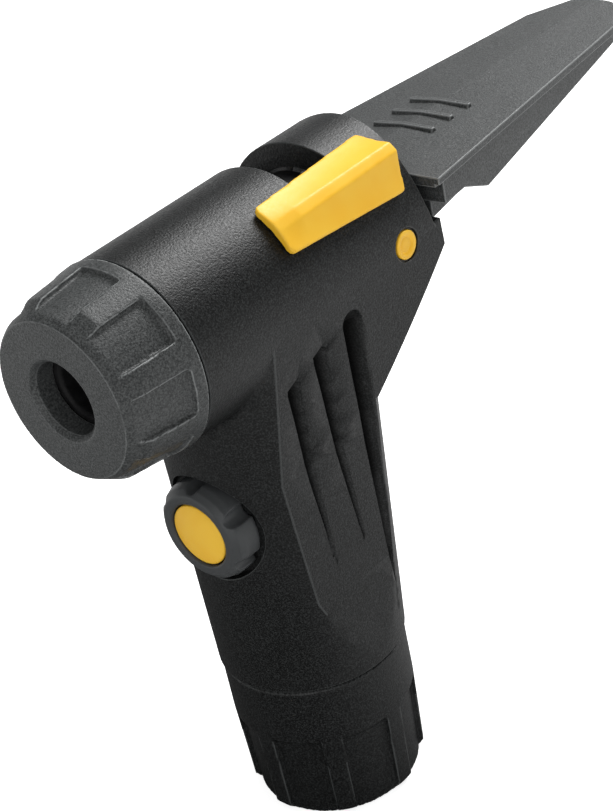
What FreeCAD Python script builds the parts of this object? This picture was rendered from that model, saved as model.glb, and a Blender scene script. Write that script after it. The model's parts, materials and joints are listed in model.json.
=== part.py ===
import FreeCAD, Part
import math
import os

from FreeCAD import Vector

# A lever-lock tyre inflator head. X points to the tyre valve, Z up the stem, Y across.
# The origin is at the centre of the hose collar's bottom face, and all sizes are millimetres.

# Lengths that only have to pass beyond the shape they cut
LONG = 300.0
SIDE_REACH = 40.0
overrun = 1.0

# Fits between pieces
run_gap = 0.05
seat_gap = 0.05
clear_gap = 0.3
oring_gap = 0.03
groove_gap = 0.1
socket_gap = 0.025

# Hose collar, the ribbed nut at the bottom of the stem
collar_length = 24.65
collar_r_top = 14.2
collar_r_bottom = 13.7
collar_band = 9.7
collar_recess_depth = 0.9
collar_recess_angle = 32.0
collar_recesses = 8
collar_edge = 0.9
collar_top_edge = 0.4
collar_floor = 3.5
collar_throat_r = 7.8
hose_hole_r = 5.4
seam_gap = 0.3

# Stem, the handle of the body, wider towards its back as it rises to the barrel
stem_length = 58.9
stem_r = 14.5
stem_top_r = 16.8
stem_top_front = 15.0
side_waist_low = 14.8
side_waist_high = 35.4
side_half_low = 13.15
side_half_high = 12.75
side_lean = 0.115
stem_bore_r = 3.2
stem_bore_roof = 8.0
spigot_r = 11.5
spigot_length = 8.0

# Barrel, the tube across the top that takes the tyre valve
barrel_front_x = 19.8
barrel_rear_x = -28.2
barrel_r_front = 13.8
barrel_r_rear = 14.9
rear_waist = 2.6
rear_top_lean = 1.3
nose_r = 11.0
seal_bore_r = 8.0
seal_bore_depth = 16.8
duct_r = 1.2

# Gusset, the two cheeks that carry the lever behind the barrel
gusset_tip_drop = 4.0
gusset_foot_drop = 19.4
gusset_foot_x = -9.9
channel_half = 10.9
channel_floor_drop = 11.0
bridge_inner_r = 10.9

# Slot across the barrel for the selector, and half of the selector's turn
slot_front_x = -8.3
slot_width = 8.1
selector_angle = 46.0

# Flutes down each side of the stem: top x, top drop, bottom x, bottom height, top radius
flute_end_r = 0.3
flute_lift = 0.3
flute_list = (
    (5.5, 10.7, 3.8, 20.4, 1.1),
    (-0.1, 8.4, -1.9, 22.4, 1.25),
    (-7.2, 6.5, -6.0, 6.4, 2.1),
)

# Front cap, the ribbed nut that holds the valve seals
cap_length = 12.5
cap_r_rear = 14.0
cap_r_front = 12.95
cap_floor_drop = 1.1
cap_rear_rim = 3.0
cap_recess_angle = 29.0
cap_recesses = 8
cap_face_r = 11.2
cap_face_edge = 1.1
cap_rib_slope = 3.0
cap_recess_run = 1.0
cap_phase = 0.125
cap_wall = 3.7
cap_hole_r = 5.2
cap_mouth_r = 5.9

# Valve seals and the plunger that squeezes them
valve_bore_r = 4.15
presta_bore_r = 2.9
presta_seal_length = 4.2
washer_thickness = 1.0
seal_rim = 0.4
washer_bore_r = 4.5
plunger_head_length = 11.0
plunger_tube_r = 5.0
plunger_tube_bore_r = 3.0
plunger_tube_bore_depth = 8.0
plunger_air_r = 2.6
plunger_air_depth = 7.0
plunger_gallery_r = 6.6
plunger_travel = 2.6
oring_section_r = 0.8
oring_land = 0.9
core_pin_r = 1.0
core_pin_seat = 2.5
core_pin_reach = 3.6

# Thrust plate and return spring behind the plunger
thrust_thickness = 1.9
thrust_stub = 3.0
return_wire_r = 0.4
return_mean_r = 6.2
return_turns = 2.5

# Selector ring and its stop pin
ring_wall = 1.3
ring_lip_r = 7.1
ring_lip = 2.2
stop_pin_r = 0.8
stop_pin_length = 5.5
stop_groove = 0.7

# Selector tab, the yellow thumb piece over the barrel
tab_front_x = 0.4
tab_rear_x = -22.4
tab_front_half_angle = 15.0
tab_rear_half_angle = 19.5
tab_edge = 0.9
tab_crest_front = 0.25
tab_crest_rear = 2.9
tab_crest_width = 1.6
tab_flank_dip = 0.55
tab_nose_length = 3.8
neck_length = 5.0
neck_width = 3.6

# Lever, its hub and its eccentric cam
pivot_x = -20.4
pivot_drop = 0.7
pin_r = 2.1
pin_recess_r = 2.45
pin_recess = 0.35
hub_r = 3.9
cam_r = 4.7
cam_offset = 2.4
cam_rest_angle = -100.0
cam_half_width = 5.0
cam_gap = 0.35

# Lever plate, seen from above and from the side
lever_front_x = -27.2
lever_rear_x = -94.6
lever_shoulder_x = -87.5
lever_half_front = 16.4
lever_half_shoulder = 9.2
lever_half_tip = 4.6
lever_top_rise = 7.0
lever_climb = 0.02
lever_roof = 0.03
lever_plate = 2.0
lever_lip = 1.1
lever_ledge = 0.7
lever_wall = 1.5
lever_step_x = -34.8
lever_belly_x = -41.1
lever_step_rise = 1.7
lever_belly_drop = 0.9
lever_tip_rise = 5.4
lever_wall_front_x = -29.2
neck_half = 8.0
neck_under_rise = -1.4
shoulder_half = 12.0
shoulder_front_x = -30.0
shoulder_rear_x = -38.2
shoulder_front_drop = 1.4
rib_thickness = 1.6
rib_rear_x = -80.0
cross_ribs = 3
thumb_bars = 3
thumb_bar_x = -41.0
thumb_bar_pitch = 4.6
thumb_bar_half = 5.6
thumb_bar_width = 1.7
thumb_bar_height = 0.45
lever_sink = 0.2
neck_front_rise = 5.4
neck_front_step = 2.0
neck_lift = 1.0

# Bleed valve in the front of the stem
bleed_height = 28.4
bleed_pocket_r = 8.5
bleed_pocket_x = 12.2
bezel_r = 7.7
bezel_face_r = 6.4
bezel_front_x = 16.7
bezel_dome = 1.9
bezel_well_r = 5.0
bezel_well_x = 11.0
bezel_stub_r = 6.0
bezel_stub_x = 5.0
bezel_oring_x = 9.5
bezel_notches = 6
bezel_notch_r = 1.25
bezel_notch_out = 0.2
bezel_shoulder = 0.4
bezel_shoulder_share = 0.6
bezel_well_edge = 0.2
bleed_button_r = 4.75
bleed_button_rim_x = 16.4
bleed_button_back_x = 13.0
bleed_button_dome = 0.8
bleed_stem_r = 1.4
bleed_air_r = 2.1
bleed_head_r = 2.8
bleed_head = 1.0
bleed_seal_thickness = 0.9
bleed_chamber_r = 3.6
bleed_spring_seat_x = 7.5
bleed_spring_r = 2.9
bleed_wire_r = 0.3
bleed_turns = 4.5
bleed_stem_grip = 2.0

# Hose fitting inside the collar
barb_r = 3.1
barb_tip_gap = 2.4
barbs = 3
barb_bite = 0.45
fitting_bore_r = 1.9
fitting_flange_r = 8.0
fitting_flange = 1.6
fitting_stub_r = 4.6
fitting_stub = 8.0
clamp_ring_wall = 1.5
clamp_ring_length = 7.0
clamp_slit = 1.2

# Levels and places worked out from the sizes above
stem_bottom_z = collar_length + seam_gap
barrel_z = stem_bottom_z + stem_length
pivot_z = barrel_z - pivot_drop
bleed_z = stem_bottom_z + bleed_height
slot_rear_x = slot_front_x - slot_width
nose_end_x = barrel_front_x + cap_length - cap_wall - clear_gap
seal_bore_rear_x = barrel_front_x - seal_bore_depth
head_rear_x = seal_bore_rear_x + clear_gap
head_front_x = head_rear_x + plunger_head_length
presta_rear_x = head_front_x + seat_gap
presta_front_x = presta_rear_x + presta_seal_length
washer_rear_x = presta_front_x + seat_gap
washer_front_x = washer_rear_x + washer_thickness
valve_seal_rear_x = washer_front_x + seat_gap
valve_seal_front_x = nose_end_x + clear_gap - seat_gap
cam_angle = math.radians(cam_rest_angle)
thrust_rear_x = pivot_x + cam_r + cam_offset * math.cos(cam_angle) + cam_gap
thrust_front_x = thrust_rear_x + thrust_thickness
slot_half_angle = selector_angle + math.degrees(math.asin((neck_width / 2 + clear_gap) / bridge_inner_r))
hub_half = math.sqrt(bridge_inner_r ** 2 - (hub_r - pivot_drop) ** 2) - clear_gap
ring_front_x = slot_front_x - clear_gap
ring_rear_x = slot_rear_x + clear_gap
ring_outer_r = bridge_inner_r - clear_gap
ring_inner_r = ring_outer_r - ring_wall
barrel_taper = (barrel_r_rear - barrel_r_front) / (barrel_front_x - barrel_rear_x)
barrel_middle_r = barrel_r_front + barrel_taper * barrel_front_x
spigot_bottom_z = stem_bottom_z - spigot_length
fitting_flange_top_z = spigot_bottom_z - seat_gap
fitting_flange_bottom_z = fitting_flange_top_z - fitting_flange
bore_top_z = barrel_z - seal_bore_r - stem_bore_roof
groove_half = oring_section_r + groove_gap

rear_oring_x = head_rear_x + oring_land + groove_half
front_oring_x = head_front_x - oring_land - groove_half
oring_floor_r = seal_bore_r - 2 * oring_section_r - 2 * oring_gap
gallery_rear_x = rear_oring_x + groove_half + oring_land
gallery_front_x = front_oring_x - groove_half - oring_land
gallery_mid_x = (gallery_rear_x + gallery_front_x) / 2
duct_x = gallery_mid_x + plunger_travel / 2
core_pin_rear_x = head_front_x - plunger_air_depth - core_pin_seat
thrust_r = ring_inner_r - clear_gap
pin_face_y = barrel_middle_r - barrel_taper * pivot_x
ring_mid_x = (ring_front_x + ring_rear_x) / 2
stop_pin_top_z = barrel_z - ring_outer_r + stop_groove - clear_gap
stop_pin_bottom_z = stop_pin_top_z - stop_pin_length
bleed_head_front_x = bezel_stub_x - bleed_seal_thickness - seat_gap
fitting_stub_top_z = fitting_flange_top_z + fitting_stub
fitting_oring_z = fitting_flange_top_z + fitting_stub / 2
oring_ring_r = seal_bore_r - oring_gap - oring_section_r
bezel_oring_r = bezel_stub_r + run_gap - oring_gap - oring_section_r

# Height above the seam, half width at the middle and lean of the stem's sides
side_levels = (
    (0, stem_r + clear_gap, 0),
    (side_waist_low, side_half_low, side_lean),
    (side_waist_high, side_half_high, side_lean),
    (stem_length, barrel_middle_r - seat_gap, barrel_taper),
)


def at(x, y, z):
    """A point."""
    return Vector(x, y, z)


def barrel_radius(x):
    """Outside radius of the barrel at a place along it."""
    return barrel_middle_r - barrel_taper * x


def turned_x(profile, z):
    """Solid turned about an axis along X at height z, from (x, radius) points."""
    points = [at(x, 0, z + r) for x, r in profile]
    face = Part.Face(Part.makePolygon(points + points[:1]))
    return face.revolve(at(0, 0, z), at(1, 0, 0), 360)


def turned_z(profile):
    """Solid turned about the Z axis, from (radius, z) points."""
    points = [at(r, 0, z) for r, z in profile]
    face = Part.Face(Part.makePolygon(points + points[:1]))
    return face.revolve(at(0, 0, 0), at(0, 0, 1), 360)


def rod_x(x0, x1, r, z):
    """Plain cylinder along X between two places."""
    return Part.makeCylinder(r, x1 - x0, at(x0, 0, z), at(1, 0, 0))


def rod_y(x, z, r, half):
    """Plain cylinder along Y, centred on the middle plane."""
    return Part.makeCylinder(r, 2 * half, at(x, -half, z), at(0, 1, 0))


def rod_z(z0, z1, r, x=0.0):
    """Plain cylinder along Z between two heights."""
    return Part.makeCylinder(r, z1 - z0, at(x, 0, z0))


def slab(x0, x1, y0, y1, z0, z1):
    """Box between two corners."""
    return Part.makeBox(x1 - x0, y1 - y0, z1 - z0, at(x0, y0, z0))


def side_prism(points, half):
    """Prism across Y from an outline of (x, z) points in the middle plane."""
    wire = Part.makePolygon([at(x, -half, z) for x, z in points + points[:1]])
    return Part.Face(wire).extrude(at(0, 2 * half, 0))


def plan_prism(points, z0, z1):
    """Prism up Z from an outline of (x, y) points."""
    wire = Part.makePolygon([at(x, y, z0) for x, y in points + points[:1]])
    return Part.Face(wire).extrude(at(0, 0, z1 - z0))


def polar_x(x, r, degrees):
    """Point around the barrel's axis, the angle counted from the top towards +Y."""
    turn = math.radians(degrees)
    return at(x, r * math.sin(turn), barrel_z + r * math.cos(turn))


def ring_sector(x0, x1, r_in, r_out, start, stop):
    """Part of a ring about the barrel's axis between two angles."""
    middle = (start + stop) / 2
    outer = Part.Arc(polar_x(x0, r_out, start), polar_x(x0, r_out, middle), polar_x(x0, r_out, stop))
    inner = Part.Arc(polar_x(x0, r_in, stop), polar_x(x0, r_in, middle), polar_x(x0, r_in, start))
    last = Part.makeLine(polar_x(x0, r_out, stop), polar_x(x0, r_in, stop))
    first = Part.makeLine(polar_x(x0, r_in, start), polar_x(x0, r_out, start))
    wire = Part.Wire([outer.toShape(), last, inner.toShape(), first])
    return Part.Face(wire).extrude(at(x1 - x0, 0, 0))


def around_barrel(shape, degrees):
    """Copy of a shape turned from the barrel's top towards +Y."""
    copy = shape.copy()
    copy.rotate(at(0, 0, barrel_z), at(1, 0, 0), -degrees)
    return copy


def both_sides(shape):
    """A shape and its mirror image across the middle plane."""
    return [shape, shape.mirror(at(0, 0, 0), at(0, 1, 0))]


def torus_x(x, z, ring_r, section_r):
    """O-ring about an axis along X."""
    return Part.makeTorus(ring_r, section_r, at(x, 0, z), at(1, 0, 0))


def biarc(p0, t0, p1, t1):
    """Two arcs that join two points along their tangents."""
    span = p1 - p0
    lean = span.dot(t0 + t1)
    bend = 2 * (1 - t0.dot(t1))
    reach = (math.sqrt(lean * lean + bend * span.dot(span)) - lean) / bend
    q0 = p0 + t0 * reach
    q1 = p1 - t1 * reach
    joint = (q0 + q1) * 0.5
    arcs = []
    for start, corner, end in ((p0, q0, joint), (joint, q1, p1)):
        chord = end - start
        half_turn = (corner - start).getAngle(chord)
        rise = math.tan(half_turn / 2) / math.tan(half_turn)
        foot = (start + end) * 0.5
        arcs.append(Part.Arc(start, foot + (corner - foot) * rise, end).toShape())
    return arcs


def coil_x(x0, x1, z, mean_r, wire_r, turns):
    """Compression spring along X whose wire ends lie inside x0 to x1."""
    steps = int(round(turns * 4))
    first = x0 + wire_r
    pitch = (x1 - x0 - 2 * wire_r) / turns

    def place(step):
        turn = step * math.pi / 2
        offset = at(first + pitch * step / 4, mean_r * math.cos(turn), mean_r * math.sin(turn))
        return offset + at(0, 0, z)

    def heading(step):
        turn = step * math.pi / 2
        rise = pitch / (2 * math.pi)
        tangent = at(rise, -mean_r * math.sin(turn), mean_r * math.cos(turn))
        return tangent.normalize()

    edges = []
    for step in range(steps):
        edges += biarc(place(step), heading(step), place(step + 1), heading(step + 1))
    path = Part.Wire(edges)
    section = Part.Wire(Part.makeCircle(wire_r, place(0), heading(0)))
    return path.makePipeShell([section], True, False)


# Body: the stem, barrel, nose, cheeks and bridge are one moulding
def side_level(z):
    """Half width of the stem at its middle and its lean towards the front, at one height."""
    rise = z - stem_bottom_z
    for low, high in zip(side_levels, side_levels[1:]):
        if rise <= high[0]:
            share = (rise - low[0]) / (high[0] - low[0])
            return [a + share * (b - a) for a, b in zip(low[1:], high[1:])]
    return side_levels[-1][1:]


def side_y(x, z):
    """Where the side of the stem lies."""
    half, lean = side_level(z)
    return half - lean * x


def envelope():
    """Space between the leaning sides, outside the round of the stem at its foot."""
    wires = []
    for rise, half, lean in side_levels:
        z = stem_bottom_z + rise
        front = half - lean * SIDE_REACH
        rear = half + lean * SIDE_REACH
        points = [at(-SIDE_REACH, rear, z), at(SIDE_REACH, front, z)]
        points += [at(SIDE_REACH, -front, z), at(-SIDE_REACH, -rear, z)]
        wires.append(Part.makePolygon(points + points[:1]))
    return Part.makeLoft(wires, True, True)


def stem_blank():
    """Round stem that spreads, mostly backwards, as it rises."""
    low = Part.makeCircle(stem_r, at(0, 0, stem_bottom_z), at(0, 0, 1))
    top = Part.makeCircle(stem_top_r, at(stem_top_front - stem_top_r, 0, barrel_z), at(0, 0, 1))
    return Part.makeLoft([Part.Wire(low), Part.Wire(top)], True, True)


def barrel_blank():
    """Tapered barrel with the waisted rear rim."""
    barrel = turned_x([(barrel_rear_x, 0), (barrel_rear_x, barrel_r_rear),
                       (barrel_front_x, barrel_r_front), (barrel_front_x, 0)], barrel_z)
    top = at(barrel_rear_x + rear_top_lean, -LONG, barrel_z + barrel_r_rear)
    waist = at(barrel_rear_x + rear_waist, -LONG, barrel_z + barrel_r_rear / 2)
    low = at(barrel_rear_x, -LONG, barrel_z - gusset_tip_drop)
    rim = Part.Arc(low, waist, top).toShape()
    corners = [top, at(top.x, -LONG, LONG), at(-LONG, -LONG, LONG), at(-LONG, -LONG, low.z), low]
    wire = Part.Wire([rim] + Part.makePolygon(corners).Edges)
    return barrel.cut(Part.Face(wire).extrude(at(0, 2 * LONG, 0)))


def flutes():
    """Three tapered grooves on each side of the stem."""
    grooves = []
    for top_x, top_drop, end_x, end_rise, top_r in flute_list:
        top_z = barrel_z - top_drop
        end_z = stem_bottom_z + end_rise
        lift = top_r * flute_lift
        top = at(top_x, side_y(top_x, top_z) + lift, top_z)
        end = at(end_x, side_y(end_x, end_z), end_z)
        cone = Part.makeCone(flute_end_r, top_r, (top - end).Length, end, top - end)
        ball = Part.makeSphere(top_r, top)
        grooves += both_sides(cone.fuse(ball))
    return grooves


def body_cuts():
    """Every bore, pocket and slot in the body."""
    cuts = [
        rod_z(spigot_bottom_z - overrun, bore_top_z, stem_bore_r),
        rod_z(spigot_bottom_z - overrun, spigot_bottom_z + fitting_stub + clear_gap,
              fitting_stub_r + run_gap),
        rod_x(seal_bore_rear_x, nose_end_x + overrun, seal_bore_r, barrel_z),
        rod_x(slot_front_x - overrun, seal_bore_rear_x + overrun, plunger_tube_r + run_gap, barrel_z),
        rod_x(-LONG, slot_front_x, bridge_inner_r, barrel_z),
        slab(-LONG, slot_rear_x, -channel_half, channel_half, barrel_z - channel_floor_drop, barrel_z),
        ring_sector(slot_rear_x, slot_front_x, ring_inner_r, barrel_r_rear + overrun,
                    -slot_half_angle, slot_half_angle),
        rod_y(pivot_x, pivot_z, pin_r + run_gap, LONG),
        rod_z(stop_pin_bottom_z, barrel_z, stop_pin_r + socket_gap, ring_mid_x),
        rod_x(bleed_pocket_x, LONG, bleed_pocket_r, bleed_z),
        rod_x(bezel_stub_x - clear_gap, bleed_pocket_x + overrun, bezel_stub_r + run_gap, bleed_z),
        rod_x(0, bezel_stub_x, bleed_chamber_r, bleed_z),
    ]
    recess_foot = at(pivot_x, pin_face_y - pin_recess, pivot_z)
    cuts += both_sides(Part.makeCylinder(pin_recess_r, LONG, recess_foot, at(0, 1, 0)))
    foot = at(0, 0, bore_top_z - stem_bore_r)
    mouth = at(duct_x, 0, barrel_z - seal_bore_r + duct_r)
    cuts.append(Part.makeCylinder(duct_r, (mouth - foot).Length, foot, mouth - foot))
    return cuts


def make_body():
    """The black body."""
    tip_z = barrel_z - gusset_tip_drop
    foot_z = barrel_z - gusset_foot_drop
    gusset = side_prism([(barrel_rear_x, barrel_z), (barrel_rear_x, tip_z), (gusset_foot_x, foot_z),
                         (0, foot_z), (0, barrel_z)], 2 * stem_top_r)
    under = side_prism([(barrel_rear_x, tip_z), (gusset_foot_x, foot_z), (gusset_foot_x, 0),
                        (-LONG, 0), (-LONG, tip_z)], LONG)
    space = envelope()
    stem = stem_blank().common(space)
    body = barrel_blank().cut(under).fuse([gusset.common(space), stem])
    spigot = rod_z(spigot_bottom_z, stem_bottom_z + overrun, spigot_r)
    nose = rod_x(barrel_front_x - overrun, nose_end_x, nose_r, barrel_z)
    body = body.fuse([spigot, nose])
    return body.cut(flutes() + body_cuts())


# Front cap
def make_front_cap():
    """Grey ribbed nut on the nose."""
    rear = barrel_front_x + clear_gap
    front = barrel_front_x + cap_length
    outer = turned_x([(rear, 0), (rear, cap_r_rear), (front - cap_rib_slope, cap_r_front),
                      (front, cap_face_r), (front, 0)], barrel_z)
    core = turned_x([(rear, 0), (rear, cap_r_rear), (rear + cap_rear_rim, cap_r_rear - cap_floor_drop),
                     (front - cap_face_edge, cap_r_front - cap_floor_drop), (front, cap_face_r), (front, 0)],
                    barrel_z)
    recesses = []
    for index in range(cap_recesses):
        middle = 360.0 * (index + cap_phase) / cap_recesses
        half = cap_recess_angle / 2
        recesses.append(ring_sector(rear + cap_rear_rim - cap_recess_run, front + overrun, cap_hole_r,
                                    cap_r_rear + overrun, middle - half, middle + half))
    cap = outer.cut(recesses).fuse(core)
    inner = turned_x([(rear - overrun, 0), (rear - overrun, nose_r + run_gap),
                      (front - cap_wall, nose_r + run_gap), (front - cap_wall, cap_hole_r),
                      (front - cap_mouth_r + cap_hole_r, cap_hole_r),
                      (front + overrun, cap_mouth_r + overrun), (front + overrun, 0)], barrel_z)
    return cap.cut(inner).removeSplitter()


# Seals in the barrel
def make_seal(x0, x1, bore_r):
    """Rubber bush or washer with softened rims."""
    r = seal_bore_r - run_gap
    rim = min(seal_rim, (x1 - x0) / 4)
    return turned_x([(x0, bore_r + rim), (x0, r - rim), (x0 + rim, r), (x1 - rim, r), (x1, r - rim),
                     (x1, bore_r + rim), (x1 - rim, bore_r), (x0 + rim, bore_r)], barrel_z)


# Plunger
def make_plunger():
    """Piston that carries both O-rings and squeezes the seals."""
    head = rod_x(head_rear_x, head_front_x, seal_bore_r - run_gap, barrel_z)
    tube = rod_x(thrust_front_x + seat_gap, head_rear_x, plunger_tube_r, barrel_z)
    grooves = []
    for centre in (rear_oring_x, front_oring_x):
        groove = rod_x(centre - groove_half, centre + groove_half, seal_bore_r, barrel_z)
        grooves.append(groove.cut(rod_x(centre - groove_half, centre + groove_half, oring_floor_r, barrel_z)))
    gallery = rod_x(gallery_rear_x, gallery_front_x, seal_bore_r, barrel_z)
    gallery = gallery.cut(rod_x(gallery_rear_x, gallery_front_x, plunger_gallery_r, barrel_z))
    air = rod_x(head_front_x - plunger_air_depth, head_front_x + overrun, plunger_air_r, barrel_z)
    pin_seat = rod_x(core_pin_rear_x, head_front_x, core_pin_r + socket_gap, barrel_z)
    rear_bore = rod_x(thrust_front_x - overrun, thrust_front_x + plunger_tube_bore_depth, plunger_tube_bore_r,
                      barrel_z)
    cross = rod_z(barrel_z - seal_bore_r, barrel_z + seal_bore_r, duct_r, gallery_mid_x)
    return head.fuse(tube).cut(grooves + [gallery, air, pin_seat, rear_bore, cross]).removeSplitter()


def make_core_pin():
    """Brass pin that presses the valve core, with a pointed front."""
    tip = core_pin_r / 2
    front = head_front_x + core_pin_reach
    return turned_x([(core_pin_rear_x, 0), (core_pin_rear_x, core_pin_r), (front - tip, core_pin_r),
                     (front, tip), (front, 0)], barrel_z)


def make_thrust_plate():
    """Disc on the plunger's rear end that the cam pushes."""
    disc = rod_x(thrust_rear_x, thrust_front_x, thrust_r, barrel_z)
    stub = rod_x(thrust_front_x, thrust_front_x + thrust_stub, plunger_tube_bore_r - seat_gap, barrel_z)
    return disc.fuse(stub)


# Selector
def make_selector_ring():
    """Ring in the barrel's slot, with the socket for the tab and the groove for the stop pin."""
    ring = turned_x([(ring_rear_x, ring_inner_r), (ring_rear_x, ring_outer_r), (ring_front_x, ring_outer_r),
                     (ring_front_x, ring_lip_r), (ring_front_x - ring_lip, ring_lip_r),
                     (ring_front_x - ring_lip, ring_inner_r)], barrel_z)
    margin = math.degrees((stop_pin_r + clear_gap) / (ring_outer_r - stop_groove))
    groove = ring_sector(ring_mid_x - stop_pin_r - clear_gap, ring_mid_x + stop_pin_r + clear_gap,
                         ring_outer_r - stop_groove, ring_outer_r + overrun,
                         180 - margin, 180 + 2 * selector_angle + margin)
    socket = neck_block(neck_length, seat_gap, ring_inner_r - overrun, ring_outer_r + overrun)
    return ring.cut([groove, around_barrel(socket, selector_angle)])


def neck_block(length, gap, r_in, r_out):
    """Neck of the tab, or its socket, at the top of the barrel."""
    half = neck_width / 2 + gap
    return slab(ring_mid_x - length / 2 - gap, ring_mid_x + length / 2 + gap,
                -half, half, barrel_z + r_in, barrel_z + r_out)


def tab_section(x, half_angle, crest):
    """Outline of the tab across the barrel: thin edges, hollow flanks and a raised crest."""
    under = barrel_radius(x) + clear_gap
    edge = under + tab_edge
    top = edge + crest
    crest_half = math.degrees(tab_crest_width / 2 / top)
    flank = (half_angle + crest_half) / 2
    flank_r = (edge + top) / 2 - tab_flank_dip * crest / tab_crest_rear
    edges = [
        Part.Arc(polar_x(x, under, -half_angle), polar_x(x, under, 0), polar_x(x, under, half_angle)),
        Part.LineSegment(polar_x(x, under, half_angle), polar_x(x, edge, half_angle)),
        Part.Arc(polar_x(x, edge, half_angle), polar_x(x, flank_r, flank), polar_x(x, top, crest_half)),
        Part.Arc(polar_x(x, top, crest_half), polar_x(x, top, 0), polar_x(x, top, -crest_half)),
        Part.Arc(polar_x(x, top, -crest_half), polar_x(x, flank_r, -flank), polar_x(x, edge, -half_angle)),
        Part.LineSegment(polar_x(x, edge, -half_angle), polar_x(x, under, -half_angle)),
    ]
    return Part.Wire([piece.toShape() for piece in edges])


def make_selector_tab():
    """Yellow thumb piece with its neck down through the slot."""
    nose_x = tab_front_x - tab_nose_length
    share = tab_nose_length / (tab_front_x - tab_rear_x)
    nose_half = tab_front_half_angle + share * (tab_rear_half_angle - tab_front_half_angle)
    nose_crest = tab_crest_front + 2 * share * (tab_crest_rear - tab_crest_front)
    sections = [
        tab_section(tab_front_x, tab_front_half_angle, tab_crest_front),
        tab_section(nose_x, nose_half, nose_crest),
        tab_section(tab_rear_x, tab_rear_half_angle, tab_crest_rear),
    ]
    tab = Part.makeLoft(sections, True, True)
    neck_top_r = barrel_radius(ring_mid_x) + clear_gap + tab_edge / 2
    neck = neck_block(neck_length, 0, ring_inner_r + seat_gap, neck_top_r)
    guide = neck_block(slot_width - 2 * clear_gap, 0, ring_outer_r + seat_gap, neck_top_r)
    return around_barrel(tab.fuse([neck, guide]), selector_angle)


# Lever
def lever_outline(inset):
    """The lever seen from above, drawn in by an inset."""
    half = [(lever_front_x, lever_half_front - inset),
            (lever_shoulder_x + inset / 2, lever_half_shoulder - inset),
            (lever_rear_x + inset, lever_half_tip - inset / 2)]
    return half + [(x, -y) for x, y in reversed(half)]


def lever_top(x):
    """Height of the lever's top along its middle."""
    return barrel_z + lever_top_rise + lever_climb * (lever_front_x - x)


def lever_under(x):
    """Height of the lever's belly behind its lowest corner."""
    share = (lever_belly_x - x) / (lever_belly_x - lever_rear_x)
    low = barrel_z - lever_belly_drop
    return low + share * (lever_tip_rise + lever_belly_drop)


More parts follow.
